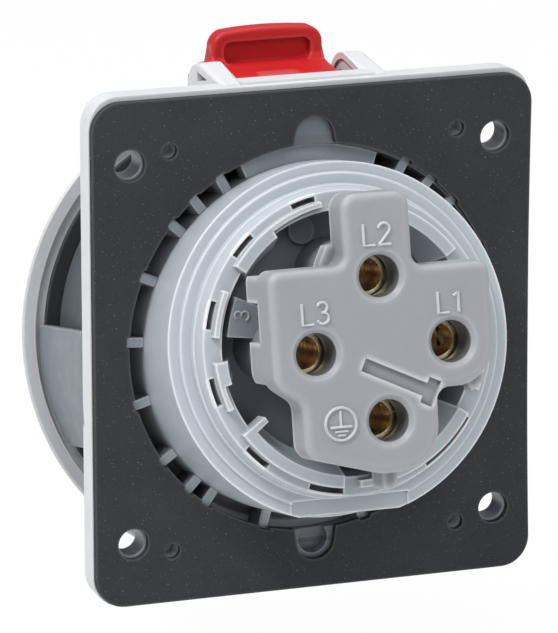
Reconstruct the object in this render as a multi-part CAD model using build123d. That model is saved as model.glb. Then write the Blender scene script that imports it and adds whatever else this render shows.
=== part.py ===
"""Panel-mounting industrial socket, three phases and earth, with an inclined barrel.

Row frame, in millimetres: +Z up, +Y to the rear (wiring side), -Y to the front (lid side).
The origin is the centre of the gasket's rear face, which lies on the panel.
The socket axis leans TILT degrees, so its front end points down for the plug.
Rear-view sketches use (right, up) as somebody sees them from behind the panel.
"""
from build123d import *
import os
from math import atan2, cos, degrees, hypot, radians, sin

os.makedirs("parts", exist_ok=True)

# Overall arrangement
TILT = 10.4
AXIS_RISE = 0.4
RUN = 0.05
CLEAR = 0.3
FAR = 100.0

# Flange and its gasket
HOLE_PITCH = 77.0
HOLE_R = 2.75
HEAD_R = 5.5
HEAD_DEPTH = 0.5
GASKET_W = 92.7
GASKET_H = 102.4
GASKET_T = 1.6
GASKET_CORNER = 6.0
GASKET_HOLE_R = 3.15
GASKET_OPENING_GAP = 0.8
GASKET_OPENING_UP = 0.9
NOTCH_R = 4.1
NOTCH_REACH = 45.5
NOTCH_NECK = 10.0
FLANGE_MARGIN = 0.2
FLANGE_BACK_T = 1.8
FLANGE_FRONT_INSET = 0.1
FLANGE_T = 6.2
FLANGE_EDGE_R = 0.8
FLANGE_TOP_STEP = 0.7
DOWEL_R = 1.6
DOWEL_DEPTH = 3.6
DOWEL_X = 30.3
DOWEL_Z = 40.7
DRAIN_WALL = 1.0
DRAIN_DEPTH = 2.4

# Housing collar round the barrel
COLLAR_R = 41.4
COLLAR_WALL = 2.5
COLLAR_FRONT = -37.6
CHEEK_STAND = 4.4
CHEEK_WALL = 2.2
CHEEK_TOP_ANGLE = 6.0
CHEEK_SWEEP_ANGLE = 32.0
CHEEK_WEB_ANGLE = 3.0
CHEEK_WEB_BACK = 8.0
RIB_W = 2.0
RIB_FRONT = -15.0
RIB_ANGLES = (30, 40, 49.5, 67, 86.5, 105.5, 125, 137, 144, 164)

# Barrel that takes the plug's shroud
BARREL_GAP = 3.3
BARREL_WALL = 3.1
BARREL_FRONT = -34.0
BARREL_FRONT_CHAMFER = 0.6
BARREL_REAR = 13.8
RIM_STEPS = ((2.3, 0.8), (4.6, 2.0), (5.2, 3.7))
RIM_SLOPE = 0.3
LEDGE_Y = 19.0
OPENING_IN = 9.3
BARREL_COLLAR_T = 2.5
KEY_SWEEP_ANGLE = 44.0
KEY_REAR = 3.0
KEY_T = 4.0
FOOT_FLAT_IN = 1.6
FOOT_HALF = 12.2
TAB_STAND = 2.2
TAB_TOP = 21.0
TAB_ROOT = 2.0
TAB_THIN = 1.1
TAB_THICK = 2.5
SNAP_REACH = 5.5
SNAP_LOW = 13.2
SNAP_UNDER = 12.5
SNAP_TABS = ((36, 62), (122.5, 143.5), (183, 193), (217, 263), (276, 326), (336, 350))
THIN_TABS = ((99, 122.5), (154, 173), (193, 203))
END_BLOCKS = ((214, 217, 5.6), (270, 276, 1.5))
SLOT_SPANS = (
    (100, 110), (129.5, 140), (159, 170), (189, 200), (220, 231), (250, 264), (300, 325),
)
SLOT_IN = 0.1
SLOT_W = 1.2
SLOT_DEPTH = 4.0
SEAL_RING_T = 2.0

# Contact carrier
CARRIER_GAP = 5.7
CARRIER_FRONT = -31.5
CARRIER_REAR = 9.0
CARRIER_FLANGE_GAP = 0.3
CARRIER_FLANGE_T = 4.2
CARRIER_NOSE_R = 1.0
CONTACT_CIRCLE_R = 13.95
EARTH_CIRCLE_R = 14.1
INSERT_TURN_ANGLE = 0.3
CORE_HALF = 11.0
TOWER_R = 6.6
FACE_T = 2.6
MARK_DISC_R = 2.7
SHELF_GAP = 1.3
SHELF_REACH = 6.5
SHELF_SPAN = (154.5, 172.5)
SHELF_REAR = 20.0
MARK_DISC_H = 1.4
MARK_DISCS = ((103, 3.9), (251, 3.6))
KEY_RIB_H = 2.2
KEY_RIB_ANGLE = 6.0
KEY_RIB_SETBACK = 3.0

# Contacts
PHASE_PIN_R = 3.0
EARTH_PIN_R = 4.0
SLEEVE_WALL = 1.4
SLEEVE_DEPTH = 27.0
SLIT_SHARE = 0.6
SLIT_W = 0.9
PIN_ENTRY_GAP = 0.4
TERMINAL_R = 4.8
EARTH_TERMINAL_R = 5.5
TERMINAL_GAP = 0.1
TERMINAL_REAR = 31.0
WIRE_R = 3.3
WIRE_DEPTH = 13.0
SPRING_RING_W = 3.0
SPRING_RING_T = 0.5
SPRING_RING_SEAT = 0.3
SPRING_RING_Y = 4.0
CLAMP_SCREW_R = 1.9
CLAMP_SCREW_L = 3.2
CLAMP_Y = 24.5
CLAMP_SLOT_W = 0.8
CLAMP_SLOT_DEPTH = 0.9

# Terminal cover
COVER_REAR = 39.5
COVER_FRONT = 32.0
COVER_EDGE_R = 1.5
COVER_LIP_T = 1.9
WIRE_ENTRY_R = 4.15
WIRE_ENTRY_CHAMFER = 0.9
COVER_OUTLINE = (
    (6.9, 30.2, 3.0), (-7.1, 30.2, 3.0), (-7.1, 16.4, 2.5), (-22.9, 16.4, 2.5),
    (-22.9, -5.6, 5.0), (-17.4, -9.6, 3.0), (-17.4, -20.0, 3.5), (-2.0, -24.3, 8.0),
    (10.4, -24.3, 9.0), (10.4, -8.7, 2.6), (22.7, -8.7, 8.0), (22.7, 15.3, 2.5),
    (6.9, 15.3, 2.5),
)
COVER_LIPS = (((-24.0, 10.2), (-18.0, 15.2), 26.0), ((-24.0, -5.6), (-18.0, 2.4), 26.0))
COVER_GUSSET = ((-6.8, 20.4), (-8.5, 20.2), (-10.2, 16.8), (-10.4, 15.8), (-6.8, 15.8))
COVER_GUSSET_FRONT = 30.0
COVER_LUG = ((0.0, -22.0), (0.0, -28.0), (3.0, -27.6), (3.0, -22.0))
COVER_LUG_FRONT = 27.5
COVER_FIN = ((18.0, -7.0), (19.6, -10.5), (22.6, -8.3), (22.0, -6.0))
COVER_FIN_FRONT = 30.0
GROOVE_W = 2.6
GROOVE_DEPTH = 0.9
GROOVE_FROM = (-4.7, -2.8)
GROOVE_TO = (8.75, -9.3)
GROOVE_HEAD_L = 5.3

# Lid
SEAL_OVERHANG = 2.9
SEAL_INSIDE = 0.3
SEAL_T = 2.2
LID_GAP = 0.4
LID_STEP_W = 2.1
LID_RIM_W = 2.8
LID_RIM_EDGE = 0.4
LID_DEPTH = 5.6
LID_FLARE = 2.6
LID_DOME = 3.4
LID_EDGE_R = 1.8
LID_LIP_DROP = 1.0
SEAL_LAND_W = 2.0
SEAL_LAND_ROOT = 0.5

# Lid hinge at the bottom
HINGE_BEHIND = 2.5
HINGE_ABOVE = 0.85
HINGE_PIN_R = 1.5
KNUCKLE_R = 3.0
KNUCKLE_IN = 6.5
KNUCKLE_OUT = 13.5
KNUCKLE_WEB = ((0.0, -3.0), (0.0, 2.0), (-6.0, 2.5), (-7.5, -1.5))
LUG_W = 4.2
LUG_ROOT = 1.0
LUG_ROOT_TOP = 9.0
LUG_KNEE = (4.0, 8.0)
LID_COIL_TURNS = 5
LID_COIL_PITCH = 1.6
LID_COIL_WIRE_R = 0.4
COIL_GAP = 0.15

# Latch at the top
PIVOT_Y = -21.5
PIVOT_DROP = 3.7
LATCH_PIN_R = 1.0
LATCH_W = 24.8
LATCH_BARREL_R = 2.6
LEVER_WEB = ((-0.5, 2.55), (-3.8, 3.1), (-6.0, 3.8), (-6.9, 5.2))
LEVER_TOP = 11.0
LEVER_CROWN = 0.8
LEVER_PLATE_T = 3.6
LEVER_RIM_W = 2.6
LEVER_DISH_DEPTH = 1.8
LEVER_DISH_LOW = 3.8
LEVER_CORNER = 3.5
LEVER_SOFT_R = 0.8
ARM_W = 16.0
ARM_TOP = ((-10.0, 3.6), (-18.0, 2.4), (-25.5, -0.4))
ARM_BOTTOM = ((-23.5, -2.6), (-14.0, -1.0), (-4.0, -2.0), (0.0, -2.6))
HOOK_REACH = 4.5
HOOK_T = 2.0
HOOK_RISE = 3.2
CATCH_CLEAR = 0.45
EAR_GAP = 0.6
EAR_W = 4.6
EAR_TOP = 5.5
EAR_ARC_R = 8.3
EAR_ARC_BACK = 3.0
EAR_ROOT = 9.0
EAR_HEEL = 14.4
EAR_SOFT_R = 1.0
EAR_PANEL_DEPTH = 0.5
EAR_PANEL_RIM = 1.4
EAR_POCKET = ((1.6, 2.8), (1.6, 1.0), (7.6, 2.2))
EAR_POCKET_DEPTH = 2.2
LATCH_COIL_WIRE_R = 0.3
LATCH_COIL_TURNS = 9
LATCH_COIL_PITCH = 0.8

BACK = -GASKET_T
STEP_Y = BACK - FLANGE_BACK_T
FRONT = BACK - FLANGE_T
FLANGE_W = GASKET_W + 2 * FLANGE_MARGIN
FLANGE_H = GASKET_H + 2 * FLANGE_MARGIN
FLANGE_TOP = FLANGE_H / 2 + FLANGE_TOP_STEP
COLLAR_BORE_R = COLLAR_R - COLLAR_WALL
CHEEK_R = COLLAR_R + CHEEK_STAND
BARREL_R = COLLAR_BORE_R - BARREL_GAP
BARREL_BORE_R = BARREL_R - BARREL_WALL
CARRIER_R = BARREL_BORE_R - CARRIER_GAP
OPENING_R = BARREL_R - OPENING_IN
TAB_R = OPENING_R + TAB_STAND
SNAP_R = TAB_R - SNAP_REACH
FOOT_FLAT = BARREL_R - FOOT_FLAT_IN
SHELF_R = CARRIER_R - SHELF_GAP
SHELF_ROOT_R = SHELF_R - SHELF_REACH
LEDGE_FRONT = CARRIER_REAR + RUN
SEAL_REAR = RIB_FRONT
SEAL_FRONT = SEAL_REAR - SEAL_RING_T
SEAL_OUT_R = COLLAR_R + SEAL_OVERHANG
SEAL_IN_R = COLLAR_BORE_R - SEAL_INSIDE
LID_REAR = COLLAR_FRONT - LID_GAP
LID_FLOOR = LID_REAR - LID_LIP_DROP - SEAL_T
LID_R = SEAL_OUT_R + LID_STEP_W + LID_RIM_W
LUG_IN = KNUCKLE_OUT + CLEAR
LUG_OUT = LUG_IN + LUG_W
EAR_IN = LATCH_W / 2 + EAR_GAP
EAR_OUT = EAR_IN + EAR_W
PIVOT_Z = FLANGE_TOP - PIVOT_DROP
SOCKET = Location((0, 0, AXIS_RISE), (TILT, 0, 0))
CONTACTS = {name: INSERT_TURN_ANGLE + 90 * i for i, name in enumerate(("l1", "l2", "l3", "earth"))}


def row_point(y, z):
    """Row frame's Y and Z of a point in the socket's own middle plane."""
    lean = radians(TILT)
    return y * cos(lean) - z * sin(lean), y * sin(lean) + z * cos(lean) + AXIS_RISE


LID_TOP = row_point(LID_REAR, LID_R)
LID_FOOT = row_point(LID_REAR, -LID_R)
HINGE_Y = LID_FOOT[0] + HINGE_BEHIND
HINGE_Z = LID_FOOT[1] + HINGE_ABOVE


def rear(y):
    """Plane at depth y whose sketch axes are right and up, seen from behind."""
    return Plane(origin=(0, y, 0), x_dir=(-1, 0, 0), z_dir=(0, 1, 0))


def side(x):
    """Plane at width x whose sketch axes are +Y and +Z."""
    return Plane(origin=(x, 0, 0), x_dir=(0, 1, 0), z_dir=(1, 0, 0))


def slab(sketch, y_from, y_to):
    return extrude(rear(y_from) * sketch, amount=y_to - y_from)


def disc(radius, y_from, y_to, right=0.0, up=0.0):
    return slab(Pos(right, up) * Circle(radius), y_from, y_to)


def tube(outer, inner, y_from, y_to):
    return slab(Circle(outer) - Circle(inner), y_from, y_to)


def sector(outer, inner, start, sweep):
    """Sketch of a ring sector, angles counted from the right, anticlockwise from behind."""
    reach = 3 * outer
    wedge = Polygon((0, 0), *[
        (reach * cos(radians(start + sweep * i / 6)), reach * sin(radians(start + sweep * i / 6)))
        for i in range(7)], align=None)
    return (Circle(outer) - Circle(inner)) & wedge


def around(angle, radius):
    return radius * cos(radians(angle)), radius * sin(radians(angle))


def spoke(angle, r_from, r_to, width, y_from, y_to):
    """Radial bar of the given width between two radii."""
    bar = Pos((r_from + r_to) / 2, 0) * Rectangle(r_to - r_from, width)
    return slab(Rot(0, 0, angle) * bar, y_from, y_to)


def bar_x(y, z, radius, x_from, x_to):
    """Round bar along X."""
    return extrude(side(x_from) * (Pos(y, z) * Circle(radius)), amount=x_to - x_from)


def behind(y):
    """Block that fills everything behind the plane at depth y."""
    return Pos(0, y + FAR, 0) * Box(3 * FAR, 2 * FAR, 3 * FAR)


def bore_radius(name):
    return EARTH_PIN_R if name == "earth" else PHASE_PIN_R


def rear_radius(name):
    return EARTH_TERMINAL_R if name == "earth" else TERMINAL_R


def circle_radius(name):
    return EARTH_CIRCLE_R if name == "earth" else CONTACT_CIRCLE_R


def contact_place(name):
    """Right and up of one contact, as seen from behind."""
    return around(CONTACTS[name], circle_radius(name))


def flange_plate():
    """Rounded plate with a thinner rear edge and a raised bar between the latch ears."""
    back_part = slab(RectangleRounded(FLANGE_W, FLANGE_H, GASKET_CORNER), STEP_Y, BACK)
    inset = 2 * FLANGE_FRONT_INSET
    front_face = RectangleRounded(FLANGE_W - inset, FLANGE_H - inset, GASKET_CORNER)
    front_part = slab(front_face, FRONT, STEP_Y)
    front_part = fillet(front_part.edges().group_by(Axis.Y)[0], FLANGE_EDGE_R)
    bar = Pos(0, FLANGE_TOP - FLANGE_TOP_STEP) * Rectangle(2 * EAR_IN + 2, 2 * FLANGE_TOP_STEP)
    return back_part + front_part + slab(bar, FRONT, STEP_Y)


def hole_places():
    half = HOLE_PITCH / 2
    return [(x, z) for x in (-half, half) for z in (-half, half)]


def dowel_places():
    return [(x, z) for x in (-DOWEL_X, DOWEL_X) for z in (-DOWEL_Z, DOWEL_Z)]


def latch_ear(sign):
    """Rounded hump that carries the latch pin, with a dished inner face and a pocket outside."""
    foot = FLANGE_TOP - FLANGE_TOP_STEP
    top = PIVOT_Z + EAR_TOP
    arc_y, arc_z = PIVOT_Y + EAR_ARC_BACK, top - EAR_ARC_R
    slope = Line((STEP_Y - 1, foot), (arc_y, top))
    nose = ThreePointArc(
        (arc_y, top), (arc_y - EAR_ARC_R * sin(radians(45)), arc_z + EAR_ARC_R * cos(radians(45))),
        (arc_y - EAR_ARC_R, arc_z))
    back = Polyline((arc_y - EAR_ARC_R, arc_z), (FRONT - 3, foot - EAR_HEEL),
                    (FRONT + 1, foot - EAR_HEEL), (FRONT + 1, foot - EAR_ROOT),
                    (STEP_Y - 1, foot - EAR_ROOT), (STEP_Y - 1, foot))
    outline = make_face([slope.edge(), nose.edge(), *back.edges()])
    ear = extrude(side(EAR_IN) * outline, amount=EAR_W)
    crest = ear.edges().filter_by(lambda e: e.center().Z > arc_z and abs(e.center().X - EAR_OUT) < 0.01
                                  and e.center().Y < STEP_Y - EAR_SOFT_R)
    ear = fillet(crest, EAR_SOFT_R)
    panel = offset(outline, amount=-EAR_PANEL_RIM) & Pos(FRONT - FAR / 2, foot) * Rectangle(FAR, 2 * EAR_ROOT)
    ear = ear - extrude(side(EAR_IN) * panel, amount=EAR_PANEL_DEPTH)
    pocket = Polygon(*[(PIVOT_Y + y, PIVOT_Z + z) for y, z in EAR_POCKET], align=None)
    ear = ear - extrude(side(EAR_OUT - EAR_POCKET_DEPTH) * pocket, amount=EAR_POCKET_DEPTH + 1)
    return ear if sign > 0 else mirror(ear, Plane.YZ)


def hinge_lug(sign):
    """Arm from the flange's lower edge to the hinge pin."""
    foot = -FLANGE_H / 2
    arm = Polygon((FRONT + 1, foot + LUG_ROOT), (FRONT + 1, foot + LUG_ROOT_TOP),
                  (HINGE_Y + LUG_KNEE[0], HINGE_Z + LUG_KNEE[1]),
                  (HINGE_Y + LUG_ROOT / 2, HINGE_Z + KNUCKLE_R - RUN), (HINGE_Y, HINGE_Z - KNUCKLE_R),
                  align=None)
    lug = extrude(side(LUG_IN) * arm, amount=LUG_W) + bar_x(HINGE_Y, HINGE_Z, KNUCKLE_R, LUG_IN, LUG_OUT)
    return lug if sign > 0 else mirror(lug, Plane.YZ)


def cheek(sign):
    """Curved side wall outside the collar, from just above the middle downwards."""
    start = CHEEK_TOP_ANGLE - CHEEK_SWEEP_ANGLE
    front = COLLAR_FRONT + CLEAR
    reach = -FRONT + BARREL_R * sin(radians(TILT))
    wall = slab(sector(CHEEK_R, CHEEK_R - CHEEK_WALL, start, CHEEK_SWEEP_ANGLE), front, reach)
    web = slab(sector(CHEEK_R - CHEEK_WALL / 2, COLLAR_R - COLLAR_WALL / 2, start, CHEEK_WEB_ANGLE),
               front + CHEEK_WEB_BACK, reach)
    wall = wall + web
    return wall if sign < 0 else mirror(wall, Plane.YZ)


def flange_housing():
    """Flange, tilted collar with its ribs, cheeks, latch ears and hinge lugs in one moulding."""
    reach = -FRONT + BARREL_R * sin(radians(TILT))
    collar = disc(COLLAR_R, COLLAR_FRONT, reach) + cheek(1) + cheek(-1)
    body = flange_plate() + (SOCKET * collar - behind(BACK))
    for sign in (1, -1):
        body = body + latch_ear(sign) + hinge_lug(sign)
    body = body - SOCKET * disc(COLLAR_BORE_R, -FAR, FAR)
    for angle in RIB_ANGLES:
        for turn in (90 + angle, 90 - angle):
            rib = spoke(turn, BARREL_R + RUN, COLLAR_BORE_R + COLLAR_WALL / 4, RIB_W, RIB_FRONT, reach)
            body = body + (SOCKET * rib - behind(BACK))
    for x, z in hole_places():
        body = body - disc(HOLE_R, -FAR, 1, -x, z)
        body = body - disc(HEAD_R, -FAR, FRONT + HEAD_DEPTH, -x, z)
    for x, z in dowel_places():
        body = body - disc(DOWEL_R, BACK - DOWEL_DEPTH, 1, -x, z)
    body = body - disc(NOTCH_R - DRAIN_WALL, BACK - DRAIN_DEPTH, 1, 0, NOTCH_R - NOTCH_REACH)
    body = body - bar_x(HINGE_Y, HINGE_Z, HINGE_PIN_R, -LUG_OUT - 1, LUG_OUT + 1)
    return body - latch_pin()


def flange_gasket():
    sheet = RectangleRounded(GASKET_W, GASKET_H, GASKET_CORNER)
    sheet = sheet - Pos(0, GASKET_OPENING_UP) * Circle(COLLAR_BORE_R + GASKET_OPENING_GAP)
    for way in (1, -1):
        reach = NOTCH_REACH - NOTCH_R
        slot = Pos(0, way * reach) * Circle(NOTCH_R)
        slot = slot + Pos(0, way * (reach - NOTCH_NECK / 2)) * Rectangle(2 * NOTCH_R, NOTCH_NECK)
        sheet = sheet - slot
    for x, z in hole_places():
        sheet = sheet - Pos(x, z) * Circle(GASKET_HOLE_R)
    for x, z in dowel_places():
        sheet = sheet - Pos(x, z) * Circle(DOWEL_R)
    return slab(sheet, -GASKET_T, 0)


def round_wall(points, start, stop):
    """Radius and y points turned from one angle to another, counted from the right."""
    wall = revolve(make_face(Polyline(*points, close=True)), Axis.Y, revolution_arc=stop - start)
    return Rot(0, start - 180, 0) * wall


def insert_barrel():
    """Tube with a stepped rear rim, a ledge and a ring of snap tabs."""
    outer = COLLAR_BORE_R - RUN
    (first, first_y), (second, second_y), (third, third_y) = (
        (BARREL_R - inset, BARREL_REAR + rise) for inset, rise in RIM_STEPS)
    profile = Polyline(
        (BARREL_BORE_R, BARREL_FRONT), (BARREL_R - BARREL_FRONT_CHAMFER, BARREL_FRONT),
        (BARREL_R, BARREL_FRONT + BARREL_FRONT_CHAMFER), (BARREL_R, SEAL_FRONT - BARREL_COLLAR_T),
        (outer, SEAL_FRONT - BARREL_COLLAR_T), (outer, SEAL_FRONT), (BARREL_R, SEAL_FRONT),
        (BARREL_R, BARREL_REAR), (first + RIM_SLOPE, BARREL_REAR), (first, first_y),
        (second + RIM_SLOPE, first_y), (second, second_y), (third + RIM_SLOPE, second_y),
        (third, third_y), (third - RIM_SLOPE, LEDGE_Y), (OPENING_R, LEDGE_Y),
        (OPENING_R, LEDGE_FRONT), (BARREL_BORE_R, LEDGE_FRONT), close=True)
    barrel = revolve(make_face(profile), Axis.Y)
    key = sector(outer, BARREL_R - RIM_SLOPE, 90 - KEY_SWEEP_ANGLE / 2, KEY_SWEEP_ANGLE)
    barrel = barrel + slab(key, KEY_REAR - KEY_T, KEY_REAR)
    root, thick, thin = LEDGE_Y - TAB_ROOT, TAB_R - TAB_THICK, TAB_R - TAB_THIN
    snap = [(TAB_R, root), (TAB_R, TAB_TOP), (thick, TAB_TOP), (SNAP_R, SNAP_LOW),
            (SNAP_R, SNAP_UNDER), (thin, SNAP_UNDER)]
    plain = [(TAB_R, root), (TAB_R, TAB_TOP), (thin, TAB_TOP), (thin, root)]
    for start, stop in SNAP_TABS:
        barrel = barrel + round_wall(snap, start, stop)
    for start, stop in THIN_TABS:
        barrel = barrel + round_wall(plain, start, stop)
    for start, stop, reach in END_BLOCKS:
        barrel = barrel + slab(sector(TAB_R, TAB_R - reach, start, stop - start), root, TAB_TOP)
    for start, stop in SLOT_SPANS:
        hollow = sector(TAB_R + SLOT_W, TAB_R + SLOT_IN, start, stop - start)
        barrel = barrel - slab(hollow, LEDGE_Y - SLOT_DEPTH, LEDGE_Y + 1)
    foot = Pos(0, -FOOT_FLAT - BARREL_R) * Rectangle(4 * BARREL_R, 2 * BARREL_R)
    barrel = barrel - slab(foot, KEY_REAR + RIM_SLOPE, LEDGE_Y)
    window = Pos(0, -FOOT_FLAT) * Rectangle(2 * FOOT_HALF, 2 * (FOOT_FLAT - second + RIM_SLOPE))
    barrel = barrel - slab(window, BARREL_REAR - RIM_SLOPE, LEDGE_Y)
    return SOCKET * barrel


def insert_seal():
    """Flat ring between the ribs' front ends and the barrel's outer ring."""
    return SOCKET * tube(COLLAR_BORE_R, BARREL_R, SEAL_FRONT, SEAL_REAR)


def contact_carrier():
    """Core with four contact chambers in front and four terminal towers behind."""
    body = disc(CARRIER_R, CARRIER_FRONT, CARRIER_REAR)
    body = fillet(body.edges().group_by(Axis.Y)[0], CARRIER_NOSE_R)
    flange_r = BARREL_BORE_R - CARRIER_FLANGE_GAP
    body = body + disc(flange_r, CARRIER_REAR - CARRIER_FLANGE_T, CARRIER_REAR)
    core = Rectangle(2 * CORE_HALF, 2 * CORE_HALF)
    for name in CONTACTS:
        core = core + Pos(*contact_place(name)) * Circle(TOWER_R)
    body = body + slab(core, CARRIER_REAR - 0.5, COVER_FRONT)
    for name, angle in CONTACTS.items():
        right, up = contact_place(name)
        chamber = bore_radius(name) + SLEEVE_WALL + SPRING_RING_T + TERMINAL_GAP
        entry = bore_radius(name) + PIN_ENTRY_GAP
        body = body - disc(rear_radius(name) + TERMINAL_GAP, CARRIER_REAR, COVER_FRONT + 1, right, up)
        body = body - disc(entry, CARRIER_FRONT - 1, CARRIER_REAR, right, up)
        body = body - disc(chamber, CARRIER_FRONT + FACE_T, CARRIER_REAR + 1, right, up)
        body = body - screw_bar(angle, CLAMP_SCREW_R + TERMINAL_GAP, circle_radius(name), TOWER_R + 1)
    shelf = sector(SHELF_R, SHELF_ROOT_R, SHELF_SPAN[0], SHELF_SPAN[1] - SHELF_SPAN[0])
    body = body + slab(shelf, CARRIER_REAR - 0.5, SHELF_REAR)
    for angle, inset in MARK_DISCS:
        right, up = around(angle, CARRIER_R - inset)
        body = body + disc(MARK_DISC_R, CARRIER_REAR - 0.5, CARRIER_REAR + MARK_DISC_H, right, up)
    key = sector(CARRIER_R + KEY_RIB_H, CARRIER_R - 1, 270 - KEY_RIB_ANGLE / 2, KEY_RIB_ANGLE)
    body = body + slab(key, CARRIER_FRONT + KEY_RIB_SETBACK, CARRIER_REAR - 1)
    return SOCKET * body


def cover_sketch():
    points = [(right, up) for right, up, _ in COVER_OUTLINE]
    radii = [radius for _, _, radius in COVER_OUTLINE]
    return make_face(FilletPolyline(*points, radius=radii, close=True))


def terminal_cover():
    """Cross-shaped cap over the terminals: funnel-edged wire entries, skirt lips and a face groove."""
    outline = cover_sketch()
    body = slab(outline, COVER_FRONT, COVER_REAR)
    body = fillet(body.edges().group_by(Axis.Y)[-1], COVER_EDGE_R)
    skirt = outline - offset(outline, amount=-COVER_LIP_T)
    for (left, low), (right, high), front in COVER_LIPS:
        patch = Pos((left + right) / 2, (low + high) / 2) * Rectangle(right - left, high - low)
        body = body + slab(skirt & patch, front, COVER_FRONT + COVER_EDGE_R)
    for corners, front in ((COVER_GUSSET, COVER_GUSSET_FRONT), (COVER_LUG, COVER_LUG_FRONT),
                           (COVER_FIN, COVER_FIN_FRONT)):
        body = body + slab(Polygon(*corners, align=None), front, COVER_FRONT + COVER_EDGE_R)
    for name in CONTACTS:
        right, up = contact_place(name)
        body = body - disc(WIRE_ENTRY_R, COVER_FRONT - 1, COVER_REAR + 1, right, up)
        rim = body.edges().filter_by(GeomType.CIRCLE).filter_by(
            lambda e: abs(e.radius - WIRE_ENTRY_R) < 0.01 and abs(e.center().Y - COVER_REAR) < 0.01)
        body = chamfer(rim, WIRE_ENTRY_CHAMFER)
    run_right, run_up = GROOVE_TO[0] - GROOVE_FROM[0], GROOVE_TO[1] - GROOVE_FROM[1]
    run, lean = hypot(run_right, run_up), degrees(atan2(run_up, run_right))
    strip = Pos(*GROOVE_FROM) * Rot(0, 0, lean) * Pos(run / 2, 0) * Rectangle(run, GROOVE_W)
    head = Pos(*GROOVE_TO) * Rot(0, 0, lean) * Rectangle(GROOVE_W, GROOVE_HEAD_L)
    body = body - slab(strip + head, COVER_REAR - GROOVE_DEPTH, COVER_REAR + 1)
    return SOCKET * body


def screw_bar(angle, radius, r_from, length):
    """Round bar that points outwards from the socket axis at the clamp screws' depth."""
    right, up = around(angle, 1)
    base = Plane(origin=(-right * r_from, CLAMP_Y, up * r_from), z_dir=(-right, 0, up))
    return extrude(base * Circle(radius), amount=length)


def contact(name):
    """Turned brass contact: split sleeve for the pin in front, wire tunnel behind."""
    bore = bore_radius(name)
    sleeve = bore + SLEEVE_WALL
    back = rear_radius(name)
    front = CARRIER_FRONT + FACE_T
    groove = front + SPRING_RING_Y
    seat = sleeve - SPRING_RING_SEAT
    profile = Polyline(
        (bore, front), (sleeve, front), (sleeve, groove), (seat, groove), (seat, groove + SPRING_RING_W),
        (sleeve, groove + SPRING_RING_W), (sleeve, CARRIER_REAR), (back, CARRIER_REAR),
        (back, TERMINAL_REAR), (WIRE_R, TERMINAL_REAR), (WIRE_R, TERMINAL_REAR - WIRE_DEPTH),
        (0, TERMINAL_REAR - WIRE_DEPTH), (0, front + SLEEVE_DEPTH),
        (bore, front + SLEEVE_DEPTH), close=True)
    body = revolve(make_face(profile), Axis.Y)
    right, up = contact_place(name)
    body = Pos(-right, 0, up) * body
    slit = Pos(right, up) * Rectangle(2 * sleeve + 2, SLIT_W)
    body = body - slab(slit, front - 1, front + SLEEVE_DEPTH * SLIT_SHARE)
    body = body - screw_bar(CONTACTS[name], CLAMP_SCREW_R, circle_radius(name), back + 1)
    return SOCKET * body


def contact_spring(name):
    """Steel ring that squeezes a split sleeve."""
    seat = bore_radius(name) + SLEEVE_WALL - SPRING_RING_SEAT
    start = CARRIER_FRONT + FACE_T + SPRING_RING_Y
    right, up = contact_place(name)
    ring = Circle(seat + SPRING_RING_SEAT + SPRING_RING_T) - Circle(seat)
    return SOCKET * slab(Pos(right, up) * ring, start, start + SPRING_RING_W)


def clamp_screws():
    """Four slotted screws, backed off so that the wire tunnels are free."""
    screws = []
    for name, angle in CONTACTS.items():
        start = circle_radius(name) + WIRE_R + RUN
        screw = screw_bar(angle, CLAMP_SCREW_R, start, CLAMP_SCREW_L)
        end = start + CLAMP_SCREW_L
        slot = Pos(0, CLAMP_Y, 0) * Rot(0, angle - 180, 0) * Pos(end, 0, 0) * Box(
            2 * CLAMP_SLOT_DEPTH, 2 * CLAMP_SCREW_R + 1, CLAMP_SLOT_W)
        screws.append(SOCKET * (screw - slot))
    return Compound(children=screws)


def lid():
    """Domed lid with a flared rim, a land for the seal and hinge knuckles."""
    front = LID_REAR - LID_DEPTH
    brim = LID_R - LID_FLARE
    lip = LID_REAR - LID_LIP_DROP
    dome_r = (brim ** 2 + LID_DOME ** 2) / (2 * LID_DOME)
    half_way = dome_r - (dome_r ** 2 - (brim / 2) ** 2) ** 0.5
    outline = Polyline(
        (0, LID_FLOOR), (SEAL_OUT_R, LID_FLOOR), (SEAL_OUT_R, lip), (LID_R - LID_RIM_W, lip),
        (LID_R - LID_RIM_W, LID_REAR), (LID_R - LID_RIM_EDGE, LID_REAR),
        (LID_R, LID_REAR - LID_RIM_EDGE), (brim, front))
    dome = ThreePointArc((brim, front), (brim / 2, front - LID_DOME + half_way), (0, front - LID_DOME))
    axis_line = Line((0, front - LID_DOME), (0, LID_FLOOR))
    profile = make_face([*outline.edges(), dome.edge(), axis_line.edge()])
    shell = revolve(profile, Axis.Y)
    corner = shell.edges().filter_by(GeomType.CIRCLE).filter_by(lambda e: abs(e.radius - brim) < 0.01)
    shell = fillet(corner, LID_EDGE_R)
    shell = shell + tube(SEAL_IN_R, SEAL_IN_R - SEAL_LAND_W, LID_FLOOR - SEAL_LAND_ROOT, LID_REAR)
    shell = SOCKET * shell
    for sign in (1, -1):
        low = min(sign * KNUCKLE_IN, sign * KNUCKLE_OUT)
        high = max(sign * KNUCKLE_IN, sign * KNUCKLE_OUT)
        shell = shell + bar_x(HINGE_Y, HINGE_Z, KNUCKLE_R, low, high)
        web = Polygon(*[(HINGE_Y + y, HINGE_Z + z) for y, z in KNUCKLE_WEB], align=None)
        shell = shell + extrude(side(low) * web, amount=high - low)
    return shell - bar_x(HINGE_Y, HINGE_Z, HINGE_PIN_R + RUN, -LUG_OUT, LUG_OUT)


def lid_seal():
    return SOCKET * tube(SEAL_OUT_R, SEAL_IN_R, LID_FLOOR, LID_REAR)


def hinge_pin():
    return bar_x(HINGE_Y, HINGE_Z, HINGE_PIN_R, -LUG_OUT, LUG_OUT)


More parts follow.
